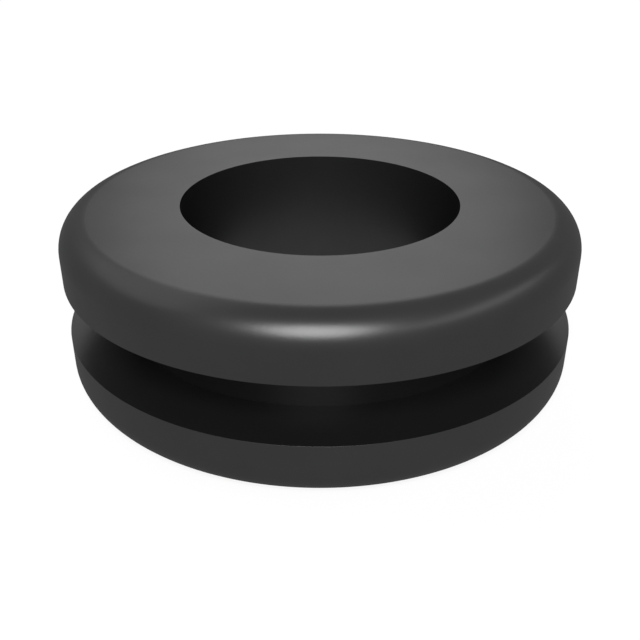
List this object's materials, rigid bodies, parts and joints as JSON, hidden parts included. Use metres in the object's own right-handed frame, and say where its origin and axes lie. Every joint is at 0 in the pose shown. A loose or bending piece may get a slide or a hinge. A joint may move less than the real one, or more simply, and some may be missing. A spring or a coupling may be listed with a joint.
{
  "type": "rubber grommet",
  "caption": "Round rubber panel grommet: a moulded ring with a panel groove between its rounded flanges and a straight bore for a cable.",
  "frame": {"origin": "centre of the lower flange's outer face, on which the grommet stands", "axes": "+Z along the bore, from the lower flange to the upper one; X and Y are free, because the part is a body of revolution"},
  "size_m": [0.018, 0.018, 0.006],
  "materials": {
    "rubber": "moulded satin black"
  },
  "bodies": {
    "root": {"grommet": "rubber"}
  },
  "joints": []
}
